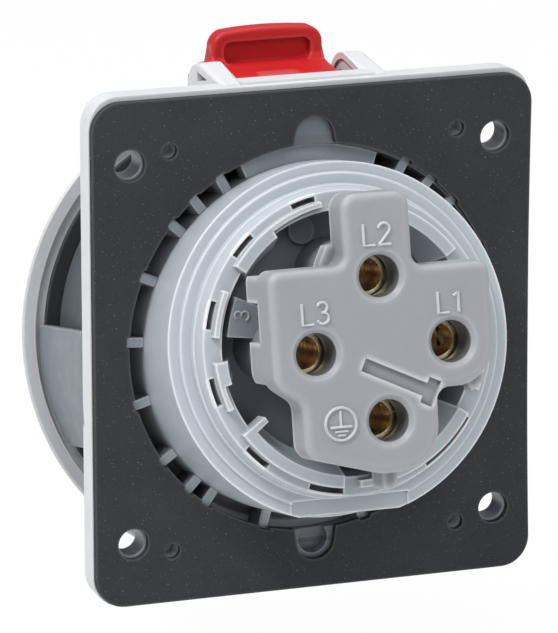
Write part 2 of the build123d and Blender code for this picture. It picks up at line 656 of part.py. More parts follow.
def coil(y, z, pin_r, wire_r, turns, pitch):
    """Close helical coil along X round a pin, centred on the middle plane."""
    length = turns * pitch
    path = Helix(pitch=pitch, height=length, radius=pin_r + COIL_GAP + wire_r)
    wire = Plane(origin=path @ 0, z_dir=path % 0) * Circle(wire_r)
    return Location((-length / 2, y, z), (0, 90, 0)) * sweep(wire, path=path)


def lid_spring():
    return coil(HINGE_Y, HINGE_Z, HINGE_PIN_R, LID_COIL_WIRE_R, LID_COIL_TURNS, LID_COIL_PITCH)


def latch_spring():
    return coil(PIVOT_Y, PIVOT_Z, LATCH_PIN_R, LATCH_COIL_WIRE_R, LATCH_COIL_TURNS, LATCH_COIL_PITCH)


def at_pivot(points):
    return [(PIVOT_Y + y, PIVOT_Z + z) for y, z in points]


def hook_points():
    """Catch in front of the lid's rim, outside the circle that the rim's top swings on."""
    swing = hypot(LID_TOP[0] - HINGE_Y, LID_TOP[1] - HINGE_Z) + CATCH_CLEAR
    inner = LID_TOP[0] - HOOK_REACH
    low = HINGE_Z + (swing ** 2 - (inner - HINGE_Y) ** 2) ** 0.5
    return [(inner - HOOK_T, low + HOOK_RISE), (inner - HOOK_T - CLEAR, low + HOOK_T),
            (inner - HOOK_T, low), (inner, low), (inner + HOOK_T, low + HOOK_RISE)]


def latch_lever():
    """Rocker with a dished finger plate behind and a hooked arm that reaches over the lid."""
    half = LATCH_W / 2
    plate_back = PIVOT_Y + LEVER_WEB[-1][0]
    plate_front = plate_back - LEVER_PLATE_T
    top = PIVOT_Z + LEVER_TOP
    crown_r = (half ** 2 + LEVER_CROWN ** 2) / (2 * LEVER_CROWN)
    blank = Pos(0, top - half) * Rectangle(LATCH_W, LATCH_W)
    blank = fillet((blank & Pos(0, top - crown_r) * Circle(crown_r)).vertices().group_by(Axis.Y)[-1],
                   LEVER_CORNER)
    plate = Polygon(*at_pivot([(0, 0), *LEVER_WEB]), (plate_back, top + 1), (plate_front, top + 1),
                    (plate_front, PIVOT_Z), align=None)
    body = extrude(side(-half) * plate, amount=LATCH_W) & slab(blank, plate_front - 1, PIVOT_Y + 1)
    rim = body.edges().filter_by(lambda e: abs(e.center().Y - plate_back) < 0.01
                                 and e.center().Z > PIVOT_Z + LEVER_WEB[-1][1])
    body = fillet(rim, LEVER_SOFT_R)
    inside = half - LEVER_RIM_W
    low, high = PIVOT_Z + LEVER_DISH_LOW, top - LEVER_RIM_W
    dish = Pos(0, (low + high) / 2) * RectangleRounded(2 * inside, high - low, LEVER_DISH_DEPTH)
    body = body - slab(dish, plate_back - LEVER_DISH_DEPTH, PIVOT_Y)
    arm = Polygon(*at_pivot(ARM_TOP), *hook_points(), *at_pivot(ARM_BOTTOM), align=None)
    body = body + extrude(side(-ARM_W / 2) * arm, amount=ARM_W)
    body = body + bar_x(PIVOT_Y, PIVOT_Z, LATCH_BARREL_R, -half, half)
    coil_half = LATCH_COIL_TURNS * LATCH_COIL_PITCH / 2 + 2 * CLEAR
    coil_r = LATCH_PIN_R + COIL_GAP + 2 * LATCH_COIL_WIRE_R + CLEAR
    body = body - bar_x(PIVOT_Y, PIVOT_Z, coil_r, -coil_half, coil_half)
    pocket = Pos(0, PIVOT_Y, PIVOT_Z - coil_r) * Box(2 * coil_half, 2 * coil_r, 2 * coil_r)
    return body - pocket - bar_x(PIVOT_Y, PIVOT_Z, LATCH_PIN_R + RUN, -half - 1, half + 1)


def latch_pin():
    depth = EAR_IN + EAR_W / 2
    return bar_x(PIVOT_Y, PIVOT_Z, LATCH_PIN_R, -depth, depth)


def export(name, shape):
    shape.label = name
    export_step(shape, "parts/" + name + ".step")


PARTS = {
    "flange_housing": flange_housing(),
    "flange_gasket": flange_gasket(),
    "insert_barrel": insert_barrel(),
    "insert_seal": insert_seal(),
    "contact_carrier": contact_carrier(),
    "terminal_cover": terminal_cover(),
    "clamp_screws": clamp_screws(),
    "lid": lid(),
    "lid_seal": lid_seal(),
    "hinge_pin": hinge_pin(),
    "lid_spring": lid_spring(),
    "latch_lever": latch_lever(),
    "latch_pin": latch_pin(),
    "latch_spring": latch_spring(),
}
for key in CONTACTS:
    PARTS["contact_" + key] = contact(key)
    PARTS["contact_spring_" + key] = contact_spring(key)
for key, shape in PARTS.items():
    export(key, shape)
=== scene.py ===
import bpy
import bmesh
from math import cos, sin, radians, pi
from mathutils import Matrix, Vector


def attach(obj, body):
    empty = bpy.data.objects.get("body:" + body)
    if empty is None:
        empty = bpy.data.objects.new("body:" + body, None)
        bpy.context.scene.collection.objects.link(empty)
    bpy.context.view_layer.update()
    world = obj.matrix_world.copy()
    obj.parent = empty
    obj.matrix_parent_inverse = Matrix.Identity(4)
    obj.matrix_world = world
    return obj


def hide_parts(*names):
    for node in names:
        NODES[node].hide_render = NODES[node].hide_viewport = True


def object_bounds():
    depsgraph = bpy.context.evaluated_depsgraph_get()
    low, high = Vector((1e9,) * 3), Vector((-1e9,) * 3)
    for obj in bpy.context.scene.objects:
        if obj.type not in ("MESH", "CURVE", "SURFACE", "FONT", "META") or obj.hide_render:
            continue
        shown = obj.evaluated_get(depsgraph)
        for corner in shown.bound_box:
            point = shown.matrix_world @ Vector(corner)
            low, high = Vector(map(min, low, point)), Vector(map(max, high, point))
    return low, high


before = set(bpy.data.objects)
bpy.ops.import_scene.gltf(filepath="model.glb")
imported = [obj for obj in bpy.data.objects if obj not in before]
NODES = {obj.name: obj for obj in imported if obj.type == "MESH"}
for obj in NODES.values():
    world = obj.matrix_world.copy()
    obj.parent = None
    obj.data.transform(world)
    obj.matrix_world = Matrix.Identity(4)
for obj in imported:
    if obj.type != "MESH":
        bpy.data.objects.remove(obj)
CAD_BOX = [list(corner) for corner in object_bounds()]
MM = 0.001

# The socket's own axis leans by TILT, as in the CAD, and its rear end points up
TILT = radians(10.4)
AXIS_RISE = 0.4
SOCKET = Matrix.Translation((0, 0, AXIS_RISE * MM)) @ Matrix.Rotation(TILT, 4, "X")


def lin(r, g, b):
    """Linear colour from the sRGB numbers 0 to 255 that a picture shows."""
    out = []
    for v in (r, g, b):
        v = v / 255
        out.append(v / 12.92 if v <= 0.04045 else ((v + 0.055) / 1.055) ** 2.4)
    return (*out, 1.0)


# Places in millimetres, as in the CAD; the rib angles count from the top
HOLE_PLACE = 38.5
COVER_REAR = 39.5
SHELF_REAR = 20.0
PHASE_PLACE = 13.97
EARTH_PLACE = 14.02
RIB_ANGLES = (30, 40, 49.5, 67, 86.5, 105.5, 125, 137, 144, 164)
RIB_HALF = 1.55
FLANGE_FACE = -9.0
MIDDLE_R = 46.15
FRONT_R = 48.5
COLLAR_BAND = (40.9, 41.9)
BORE_RING = (38.7, 40.6)
ENTRY_R = 4.45
ENTRY_RING_STEP = 1.1
TUNNEL_DARK, TUNNEL_BRIGHT = 27.0, 30.0
BARREL_SHADE_R = 37.4

# ---------------------------------------------------------------- materials

class Shader:
    """A new material's node tree, with its output node."""

    def __init__(self, name):
        self.mat = bpy.data.materials.new(name)
        self.mat.use_nodes = True
        self.tree = self.mat.node_tree
        self.tree.nodes.clear()
        self.out = self.add("ShaderNodeOutputMaterial")

    def add(self, kind):
        return self.tree.nodes.new(kind)

    def link(self, source, target):
        self.tree.links.new(source, target)


def noise(s, coords, scale, detail=3.0, rough=0.55, distortion=0.0):
    n = s.add("ShaderNodeTexNoise")
    n.inputs["Scale"].default_value = scale
    n.inputs["Detail"].default_value = detail
    n.inputs["Roughness"].default_value = rough
    n.inputs["Distortion"].default_value = distortion
    s.link(coords, n.inputs["Vector"])
    return n.outputs["Fac"]


def remap(s, value, low, high, source_low=0.0, source_high=1.0):
    m = s.add("ShaderNodeMapRange")
    m.inputs["From Min"].default_value = source_low
    m.inputs["From Max"].default_value = source_high
    m.inputs["To Min"].default_value = low
    m.inputs["To Max"].default_value = high
    s.link(value, m.inputs["Value"])
    return m.outputs["Result"]


def mix_colour(s, factor, first, second, mode="MIX"):
    m = s.add("ShaderNodeMix")
    m.data_type = "RGBA"
    m.blend_type = mode
    for socket, value in ((m.inputs[0], factor), (m.inputs[6], first), (m.inputs[7], second)):
        if isinstance(value, (tuple, float, int)):
            socket.default_value = value
        else:
            s.link(value, socket)
    return m.outputs[2]


def edge_mask(s, width, samples=6):
    """One on convex edges and nought on flat walls: short rays cast inwards leave near an edge."""
    inside = s.add("ShaderNodeAmbientOcclusion")
    inside.inside = True
    inside.samples = samples
    inside.inputs["Distance"].default_value = width * MM
    return remap(s, inside.outputs["AO"], 1.0, 0.0, 0.55, 0.95)


def math(s, operation, first, second=0.0):
    m = s.add("ShaderNodeMath")
    m.operation = operation
    for socket, value in ((m.inputs[0], first), (m.inputs[1], second)):
        if isinstance(value, (float, int)):
            socket.default_value = value
        else:
            s.link(value, socket)
    return m.outputs[0]


def vector(s, operation, first, second=(0.0, 0.0, 0.0), result=0):
    m = s.add("ShaderNodeVectorMath")
    m.operation = operation
    s.link(first, m.inputs[0])
    m.inputs[1].default_value = second
    return m.outputs[result]


def socket_frame(s, coords):
    """The shaded point seen along the socket's own tilted axis, which is Y here too."""
    turn = s.add("ShaderNodeVectorRotate")
    turn.rotation_type = "X_AXIS"
    turn.inputs["Angle"].default_value = -TILT
    s.link(vector(s, "SUBTRACT", coords, (0.0, 0.0, AXIS_RISE * MM)), turn.inputs["Vector"])
    return turn.outputs[0]


def split(s, place):
    parts = s.add("ShaderNodeSeparateXYZ")
    s.link(place, parts.inputs[0])
    return parts.outputs


def radius_at(s, place, right=0.0, up=0.0, folded=False):
    """Distance in the plane across Y from one axis, or from its mirror images too."""
    flat = vector(s, "MULTIPLY", place, (1.0, 0.0, 1.0))
    if folded:
        flat = vector(s, "ABSOLUTE", flat)
    return vector(s, "LENGTH", vector(s, "SUBTRACT", flat, (right * MM, 0.0, up * MM)), result=1)


def below(s, value, limit, soft=0.15):
    return remap(s, value, 1.0, 0.0, (limit - soft) * MM, (limit + soft) * MM)


def above(s, value, limit, soft=0.15):
    return remap(s, value, 0.0, 1.0, (limit - soft) * MM, (limit + soft) * MM)


def near_middle(s, coords):
    """The flange's middle, and everything round the collar in front of the flange."""
    place = socket_frame(s, coords)
    ahead = below(s, split(s, place)[1], FLANGE_FACE)
    front = math(s, "MULTIPLY", below(s, radius_at(s, place), FRONT_R), ahead)
    return math(s, "MAXIMUM", below(s, radius_at(s, coords), MIDDLE_R), front)


def in_bolt_hole(s, coords):
    return below(s, radius_at(s, coords, HOLE_PLACE, HOLE_PLACE, True), 3.2)


def shaded_bore_ring(s, coords):
    """The seat's bore and the thin ring beside it, just inside the gasket's opening; its zone paints
    the gap's shade there, a darker grey with almost no edge highlight.
    """
    reach = radius_at(s, socket_frame(s, coords))
    return math(s, "MULTIPLY", above(s, reach, BORE_RING[0], 0.05), below(s, reach, BORE_RING[1]))


def lit_rib(s, coords):
    """The ribs round the seat, found by their angle from the top; their zone paints them lighter than
    the grey round them, as painted light on their tips.
    """
    place = socket_frame(s, coords)
    x, _, z = split(s, place)
    angle = math(s, "ARCTAN2", math(s, "ABSOLUTE", x), z)
    ramp = s.add("ShaderNodeValToRGB")
    ramp.color_ramp.interpolation = "CONSTANT"
    s.link(math(s, "DIVIDE", angle, pi), ramp.inputs[0])
    stops = ramp.color_ramp.elements
    stops[0].color = (0, 0, 0, 1)
    stops.remove(stops[1])
    for middle in RIB_ANGLES:
        for edge, shade in ((middle - RIB_HALF, 1), (middle + RIB_HALF, 0)):
            stops.new(edge / 180).color = (shade, shade, shade, 1)
    return math(s, "MULTIPLY", ramp.outputs[0], below(s, radius_at(s, place), BORE_RING[1]))


def shaded_collar(s, coords):
    """Outside of the round collar in front of the flange, which its zone darkens as painted shade
    between the flange and the lid.
    """
    place = socket_frame(s, coords)
    reach = radius_at(s, place)
    band = math(s, "MULTIPLY", above(s, reach, COLLAR_BAND[0]), below(s, reach, COLLAR_BAND[1]))
    return math(s, "MULTIPLY", band, below(s, split(s, place)[1], -8.0))


def shaded_wire_entry(s, coords):
    """Walls of the four round wire entries, below the bright chamfer at the mouth, painted darker as
    shade inside the holes, in bands of painted shade a thread's pitch apart.
    """
    place = socket_frame(s, coords)
    beside = below(s, radius_at(s, place, PHASE_PLACE, 0.0, True), ENTRY_R, 0.1)
    over = below(s, radius_at(s, place, 0.0, EARTH_PLACE, True), ENTRY_R, 0.1)
    depth = split(s, place)[1]
    rings = math(s, "SINE", math(s, "MULTIPLY", depth, 2 * pi / (ENTRY_RING_STEP * MM)))
    inside = below(s, depth, COVER_REAR - 1.0)
    shade = math(s, "MULTIPLY", inside, remap(s, rings, 0.86, 1.0, -1.0, 1.0))
    return math(s, "MULTIPLY", math(s, "MAXIMUM", beside, over), shade)


# Painted light: the seal's floor beyond this radius, out of the barrel's shadow.
def lit_away_from_barrel(s, coords):
    return above(s, radius_at(s, socket_frame(s, coords)), BARREL_SHADE_R, 0.3)


def plastic(name, colour, rough=0.42, mottle=0.06, grain=1500.0, grain_bump=0.05, wave_bump=0.03,
            bevel=0.25, specular=0.45, painted_edge_highlight=0.25, edge_width=0.5, recess_shade=0.0, recess_shade_reach=4.0,
            zones=(), specks=0.0):
    """Moulded plastic: fine spark-eroded grain, slow sink waves, small colour drift, and convex edges
    painted lighter as a highlight.

    Each zone is a mask, its colour and its share of the painted edge highlight."""
    s = Shader(name)
    coords = s.add("ShaderNodeTexCoord").outputs["Object"]
    bsdf = s.add("ShaderNodeBsdfPrincipled")
    s.link(bsdf.outputs[0], s.out.inputs["Surface"])
    slow = noise(s, coords, 60.0, 4.0, 0.6, 0.4)
    fine = noise(s, coords, grain, 2.0, 0.6)
    darker = tuple(c * (1 - mottle) for c in colour[:3]) + (1.0,)
    lighter = tuple(min(1.0, c * (1 + mottle)) for c in colour[:3]) + (1.0,)
    base = mix_colour(s, remap(s, slow, 0.0, 1.0, 0.3, 0.7), darker, lighter)
    speck = remap(s, fine, 0.0, 0.35, 0.45, 0.75)
    base = mix_colour(s, speck, base, tuple(c * 0.9 for c in colour[:3]) + (1.0,))
    # Painted highlight: convex edges are mixed towards white.
    lift = remap(s, edge_mask(s, edge_width), 0.0, painted_edge_highlight)
    for zone, tone, share in zones:
        mask = zone(s, coords)
        shade = mix_colour(s, speck, tone, tuple(c * 0.93 for c in tone[:3]) + (1.0,))
        base = mix_colour(s, mask, base, shade)
        lift = math(s, "MULTIPLY", lift, remap(s, mask, 1.0, share))
    base = mix_colour(s, lift, base, (1.0, 1.0, 1.0, 1.0))
    # Painted shade: where ambient occlusion finds surfaces close by, in recesses and between parts, the
    # colour is darkened.
    if recess_shade:
        occlusion = s.add("ShaderNodeAmbientOcclusion")
        occlusion.samples = 8
        occlusion.inputs["Distance"].default_value = recess_shade_reach * MM
        shade = remap(s, occlusion.outputs["AO"], 1 - recess_shade, 1.0)
        base = mix_colour(s, 1.0, base, shade, "MULTIPLY")
    if specks:
        grains = remap(s, noise(s, coords, 2600.0, 1.0, 0.4), 0.0, specks, 0.68, 0.78)
        base = mix_colour(s, grains, base, (0.5, 0.5, 0.52, 1.0))
    s.link(base, bsdf.inputs["Base Color"])
    s.link(remap(s, noise(s, coords, 240.0, 3.0), rough - 0.06, rough + 0.08, 0.3, 0.7),
           bsdf.inputs["Roughness"])
    bsdf.inputs["Specular IOR Level"].default_value = specular
    soft = s.add("ShaderNodeBevel")
    soft.samples = 6
    soft.inputs["Radius"].default_value = bevel * MM
    waves = s.add("ShaderNodeBump")
    waves.inputs["Strength"].default_value = wave_bump
    waves.inputs["Distance"].default_value = 0.002
    s.link(slow, waves.inputs["Height"])
    s.link(soft.outputs[0], waves.inputs["Normal"])
    texture = s.add("ShaderNodeBump")
    texture.inputs["Strength"].default_value = grain_bump
    texture.inputs["Distance"].default_value = 0.0004
    s.link(fine, texture.inputs["Height"])
    s.link(waves.outputs[0], texture.inputs["Normal"])
    s.link(texture.outputs[0], bsdf.inputs["Normal"])
    return s.mat


def metal(name, colour, rough=0.25, streak=900.0, tarnish=None, mouth=None):
    """Turned or drawn metal with fine rings, small scratches and an optional tarnish.

    The last millimetres before the rear mouth of a tunnel are painted a brighter colour, as painted
    light where light reaches into the tunnel."""
    s = Shader(name)
    coords = s.add("ShaderNodeTexCoord").outputs["Object"]
    bsdf = s.add("ShaderNodeBsdfPrincipled")
    s.link(bsdf.outputs[0], s.out.inputs["Surface"])
    bsdf.inputs["Metallic"].default_value = 1.0
    slow = noise(s, coords, 140.0, 4.0, 0.6)
    base = mix_colour(s, remap(s, slow, 0.0, 1.0, 0.35, 0.7), colour,
                      tarnish or tuple(c * 0.72 for c in colour[:3]) + (1.0,))
    if mouth:
        depth = split(s, socket_frame(s, coords))[1]
        bright = remap(s, depth, 0.0, 1.0, TUNNEL_DARK * MM, TUNNEL_BRIGHT * MM)
        base = mix_colour(s, bright, base, mouth)
    s.link(base, bsdf.inputs["Base Color"])
    stretch = s.add("ShaderNodeMapping")
    stretch.inputs["Scale"].default_value = (0.15, 3.0, 0.15)
    s.link(coords, stretch.inputs["Vector"])
    rings = noise(s, stretch.outputs[0], streak, 2.0, 0.5)
    s.link(remap(s, rings, rough - 0.07, rough + 0.12, 0.3, 0.7), bsdf.inputs["Roughness"])
    soft = s.add("ShaderNodeBevel")
    soft.samples = 6
    soft.inputs["Radius"].default_value = 0.15 * MM
    bump = s.add("ShaderNodeBump")
    bump.inputs["Strength"].default_value = 0.08
    bump.inputs["Distance"].default_value = 0.0002
    s.link(rings, bump.inputs["Height"])
    s.link(soft.outputs[0], bump.inputs["Normal"])
    s.link(bump.outputs[0], bsdf.inputs["Normal"])
    return s.mat


# Painted light and shade in the housing's zones: the ribs are painted lighter than the middle grey,
# with a doubled edge highlight; the bore ring and the collar band are painted darker as shade.
HOUSING = plastic("housing_plastic", lin(222, 224, 226), rough=0.36, mottle=0.02, recess_shade=0.2,
                  painted_edge_highlight=0.3, zones=(
                      (near_middle, lin(122, 129, 137), 0.5), (in_bolt_hole, lin(134, 142, 151), 1.0),
                      (shaded_bore_ring, lin(116, 120, 126), 0.1), (lit_rib, lin(160, 168, 176), 2.0),
                      (shaded_collar, lin(96, 103, 108), 0.5)))
LID = plastic("lid_plastic", lin(198, 200, 204), rough=0.36, mottle=0.02, recess_shade=0.2, painted_edge_highlight=0.35)
INSERT = plastic("insert_plastic", lin(189, 197, 204), rough=0.34, mottle=0.025, recess_shade=0.3,
                 painted_edge_highlight=0.9, edge_width=0.6)
# The carrier's own grey, painted darker as shade under the cover; its wire entries are painted darker
# still as shade.
CARRIER_SHADED = plastic("carrier_plastic_painted_shade", lin(134, 141, 148), rough=0.42, mottle=0.03, recess_shade=0.4,
                  recess_shade_reach=7.0, zones=((shaded_wire_entry, lin(112, 114, 118), 0.2),))
COVER = plastic("cover_plastic", lin(159, 162, 167), rough=0.44, mottle=0.02, bevel=0.4, recess_shade=0.6,
                recess_shade_reach=7.0, painted_edge_highlight=0.5, edge_width=1.3,
                zones=((shaded_wire_entry, lin(112, 114, 118), 0.2),))
# Painted light: the raised marks, moulded in the cover's plastic, are painted much lighter than the
# cover and given a painted edge highlight.
LIT_MARKS = plastic("mark_plastic_painted_light", lin(196, 200, 206), rough=0.4, mottle=0.02, bevel=0.1,
                painted_edge_highlight=0.5, edge_width=0.15)
GASKET = plastic("gasket_rubber", lin(58, 59, 63), rough=0.7, mottle=0.1, grain=2200.0,
                 grain_bump=0.2, bevel=0.15, specular=0.15, painted_edge_highlight=0.06, specks=0.35)
SEAL = plastic("seal_rubber", lin(44, 46, 49), rough=0.5, mottle=0.06, bevel=0.3, specular=0.3,
               painted_edge_highlight=0.05)
# Painted light: away from the barrel the seal is painted near white, as light on the floor between the
# ribs; next to the barrel it keeps a darker grey as the barrel's painted shadow.
INNER_SEAL = plastic("inner_seal_rubber", lin(120, 124, 129), rough=0.6, mottle=0.05,
                     zones=((lit_away_from_barrel, lin(222, 226, 230), 0.3),))
RED = plastic("latch_plastic", lin(196, 32, 36), rough=0.36, mottle=0.08, grain=1100.0,
              grain_bump=0.07, bevel=0.5, specular=0.35, painted_edge_highlight=0.06, edge_width=0.8)
# Painted light: a bright colour near the rear mouth of each tunnel.
BRASS = metal("turned_brass", (0.58, 0.43, 0.25, 1.0), rough=0.2, tarnish=(0.24, 0.17, 0.12, 1.0),
              mouth=(0.95, 0.82, 0.52, 1.0))
STEEL = metal("bright_steel", (0.62, 0.61, 0.60, 1.0), rough=0.28)

LOOKS = {"flange_housing": HOUSING, "flange_gasket": GASKET, "insert_barrel": INSERT,
         "insert_seal": INNER_SEAL, "contact_carrier": CARRIER_SHADED, "terminal_cover": COVER,
         "clamp_screws": STEEL, "lid": LID, "lid_seal": SEAL, "hinge_pin": STEEL,
         "lid_spring": STEEL, "latch_lever": RED, "latch_pin": STEEL, "latch_spring": STEEL}


def dress(obj, mat):
    obj.data.materials.clear()
    obj.data.materials.append(mat)


for node, obj in NODES.items():
    if node.startswith("contact_spring"):
        dress(obj, STEEL)
    else:
        dress(obj, LOOKS.get(node, BRASS))


# ---------------------------------------------------------------- raised marks on the cover

def on_cover(right, up, depth=0.0):
    """Matrix of a sketch plane on the cover's rear face: x to the right, y up, z towards the eye."""
    plane = Matrix(((-1, 0, 0, 0), (0, 0, 1, 0), (0, 1, 0, 0), (0, 0, 0, 1)))
    return SOCKET @ Matrix.Translation((-right * MM, (COVER_REAR + depth) * MM, up * MM)) @ plane


def finish_piece(obj, mat, body="housing"):
    dress(obj, mat)
    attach(obj, body)
    return obj


def add_ridge(bm, points, width, height, base=0.0, closed=False):
    """Ridge with sloping sides along a path of points in a sketch plane."""
    count = len(points)
    rows = []
    for i, (x, y) in enumerate(points):
        before = points[i - 1] if (closed or i) else points[i]
        after = points[(i + 1) % count] if (closed or i < count - 1) else points[i]
        run = Vector((after[0] - before[0], after[1] - before[1])).normalized()
        across = Vector((-run.y, run.x))
        row = []
        for share, rise in ((-0.5, base), (-0.26, base + height), (0.26, base + height), (0.5, base)):
            row.append(bm.verts.new((x + across.x * width * share, y + across.y * width * share, rise)))
        rows.append(row)
    spans = count if closed else count - 1
    for i in range(spans):
        first, second = rows[i], rows[(i + 1) % count]
        for k in range(3):
            bm.faces.new((first[k], first[k + 1], second[k + 1], second[k]))
        bm.faces.new((first[3], first[0], second[0], second[3]))
    if not closed:
        bm.faces.new(rows[0])
        bm.faces.new(list(reversed(rows[-1])))


def ridge_piece(name, paths, place, mat, body="housing"):
    """One piece of several ridges; each path is points, width, height and closed or not."""
    bm = bmesh.new()
    for points, width, height, closed in paths:
        add_ridge(bm, points, width, height, -0.05, closed)
    bmesh.ops.scale(bm, vec=(MM, MM, MM), verts=bm.verts)
    bmesh.ops.recalc_face_normals(bm, faces=bm.faces)
    mesh = bpy.data.meshes.new(name)
    bm.to_mesh(mesh)
    bm.free()
    mesh.transform(place)
    obj = bpy.data.objects.new(name, mesh)
    bpy.context.collection.objects.link(obj)
    return finish_piece(obj, mat, body)


def ring_points(radius, steps=64):
    return [(radius * cos(2 * pi * i / steps), radius * sin(2 * pi * i / steps)) for i in range(steps)]


CAP = 4.15
STROKE_W = 0.52
STROKE_H = 0.42


def arc_points(x, y, rx, ry, first, last, steps=14):
    angles = [radians(first + (last - first) * i / steps) for i in range(steps + 1)]
    return [(x + rx * cos(a), y + ry * sin(a)) for a in angles]


GLYPHS = {
    "L": [[(0.0, CAP), (0.0, 0.0), (2.2, 0.0)]],
    "1": [[(0.2, 3.15), (0.85, 3.5), (1.25, CAP), (1.25, 0.0)]],
    "2": [arc_points(1.25, 3.0, 1.15, 1.15, 170, -35) + [(0.1, 0.05), (0.1, 0.0), (2.5, 0.0)]],
    "3": [arc_points(1.15, 3.15, 1.0, 1.0, 160, -80, 12) + [(0.95, 2.15)],
          arc_points(1.15, 1.1, 1.2, 1.1, 80, -160, 14)],
}
GLYPH_STEP = 3.0


def stroke_text(name, text, right, up, size=1.0, turn=0.0, depth=0.0, mat=LIT_MARKS):
    """Letters of round-sided strokes, centred on a place of the cover or of a face below it."""
    width = GLYPH_STEP * (len(text) - 1) + 2.4
    paths = []
    for i, letter in enumerate(text):
        for j, stroke in enumerate(GLYPHS[letter]):
            moved = [((x + i * GLYPH_STEP - width / 2) * size, (y - CAP / 2) * size) for x, y in stroke]
            paths.append((moved, STROKE_W * size ** 0.5, STROKE_H * size - 0.01 * j, False))
    place = on_cover(right, up, depth) @ Matrix.Rotation(turn, 4, "Z")
    return ridge_piece(name, paths, place, mat)


stroke_text("mark_l1", "L1", 14.1, 7.85)
stroke_text("mark_l2", "L2", -0.35, 22.1)
stroke_text("mark_l3", "L3", -13.9, 7.85)
stroke_text("mark_shelf", "3", -22.1, 7.3, 0.72, radians(80), SHELF_REAR - COVER_REAR, CARRIER_SHADED)

ridge_piece("mark_earth", [
    (ring_points(3.15), 0.55, 0.45, True),
    ([(0, 2.55), (0, -0.6)], 0.5, 0.43, False),
    ([(-2.2, -0.6), (2.2, -0.6)], 0.5, 0.44, False),
    ([(-1.3, -1.45), (1.3, -1.45)], 0.45, 0.42, False),
    ([(-0.75, -2.2), (0.75, -2.2)], 0.45, 0.41, False),
], on_cover(-10.15, -13.8), LIT_MARKS)


# ---------------------------------------------------------------- gasket with its cut edge

GASKET_W, GASKET_H, GASKET_T, GASKET_CORNER = 92.7, 102.4, 1.6, 6.0
GASKET_HOLE_R = 3.15
OPENING_X, OPENING_Z, OPENING_UP = 38.95, 39.6, 0.45
RIB_NOTCH = 0.6
RIB_NOTCH_HALF = 1.9
NOTCH_R = 4.1
NOTCH_REACH = 45.5
DOWEL_X, DOWEL_Z, DOWEL_R = 30.3, 40.7, 1.6
EDGE_BOW = 0.5
EDGE_ROUND = 0.06


def gasket_outline():
    """Rounded rectangle whose long right edge, seen from behind, bows in a little."""
    points = []
    half_w, half_h, r = GASKET_W / 2, GASKET_H / 2, GASKET_CORNER
    for sx, sz, first in ((1, 1, 0), (-1, 1, 90), (-1, -1, 180), (1, -1, 270)):
        corner = arc_points(sx * (half_w - r), sz * (half_h - r), r, r, first, first + 90, 10)
        points.extend(corner)
        if sx < 0 < sz:
            for i in range(1, 24):
                z = half_h - r - 2 * (half_h - r) * i / 24
                points.append((-half_w + EDGE_BOW * (1 - (z / (half_h - r)) ** 2), z))
    return points


def gasket_opening():
    """Opening that follows the barrel's seat, with a small notch at each rib and two large ones."""
    points = []
    notches = [(90 + a) % 360 for a in RIB_ANGLES] + [(90 - a) % 360 for a in RIB_ANGLES]
    steps = 720
    for i in range(steps):
        a = 360 * i / steps
        x, z = OPENING_X * cos(radians(a)), OPENING_Z * sin(radians(a))
        for n in notches:
            off = (a - n + 180) % 360 - 180
            if abs(off) < RIB_NOTCH_HALF:
                x, z = x * (1 + RIB_NOTCH / OPENING_X), z * (1 + RIB_NOTCH / OPENING_X)
        z += OPENING_UP
        if abs(x) < NOTCH_R:
            top = NOTCH_REACH - NOTCH_R + (NOTCH_R ** 2 - x ** 2) ** 0.5
            z = top if z > 0 else -top
        points.append((x, z))
    return points


def loop_curve(curve, points):
    """Closed loop of points, in millimetres, in a flat curve."""
    spline = curve.splines.new("POLY")
    spline.points.add(len(points) - 1)
    for p, (x, z) in zip(spline.points, points):
        p.co = (x * MM, z * MM, 0, 1)
    spline.use_cyclic_u = True


def make_gasket():
    """Sheet cut to the outline, the opening, four fixing holes and four small holes."""
    curve = bpy.data.curves.new("gasket_curve", "CURVE")
    curve.dimensions = "2D"
    curve.fill_mode = "BOTH"
    loop_curve(curve, gasket_outline())
    loop_curve(curve, gasket_opening())
    for sx in (1, -1):
        for sz in (1, -1):
            loop_curve(curve, arc_points(sx * HOLE_PLACE, sz * HOLE_PLACE, GASKET_HOLE_R,
                                         GASKET_HOLE_R, 0, 352.5, 47))
            loop_curve(curve, arc_points(sx * DOWEL_X, sz * DOWEL_Z, DOWEL_R, DOWEL_R, 0, 345, 23))
    curve.extrude = (GASKET_T / 2 - EDGE_ROUND) * MM
    curve.bevel_depth = EDGE_ROUND * MM
    curve.bevel_resolution = 1
    curve.offset = -EDGE_ROUND * MM
    made = bpy.data.objects.new("gasket_curve", curve)
    bpy.context.collection.objects.link(made)
    bpy.context.view_layer.update()
    mesh = bpy.data.meshes.new_from_object(made)
    bpy.data.objects.remove(made)
    stand = Matrix(((1, 0, 0, 0), (0, 0, -1, -GASKET_T * MM / 2), (0, 1, 0, 0), (0, 0, 0, 1)))
    mesh.transform(stand)
    obj = bpy.data.objects.new("gasket_sheet", mesh)
    bpy.context.collection.objects.link(obj)
    finish_piece(obj, GASKET)
    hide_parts("flange_gasket")
    return obj


make_gasket()


# ---------------------------------------------------------------- latch and flange, trimmed

LEVER_LOW, LEVER_HIGH, LEVER_DROP = 49.0, 52.5, 1.1
LEVER_SIDE_START, LEVER_SIDE, LEVER_TRIM = -4.0, 12.4, 1.1
EDGE_LOW, EDGE_HIGH, EDGE_RISE = 46.0, 50.0, 0.75
EDGE_TOP, EAR_START, BESIDE_EARS = 51.6, 53.5, 13.5


def share_between(value, low, high):
    return min(1.0, max(0.0, (value - low) / (high - low)))


def lower_plate(x, z):
    """The lever's plate ends a little lower, and narrower on its left, seen from behind."""
    height = share_between(z, LEVER_LOW, LEVER_HIGH)
    return (-LEVER_TRIM * height * share_between(x, LEVER_SIDE_START, LEVER_SIDE),
            -LEVER_DROP * height)


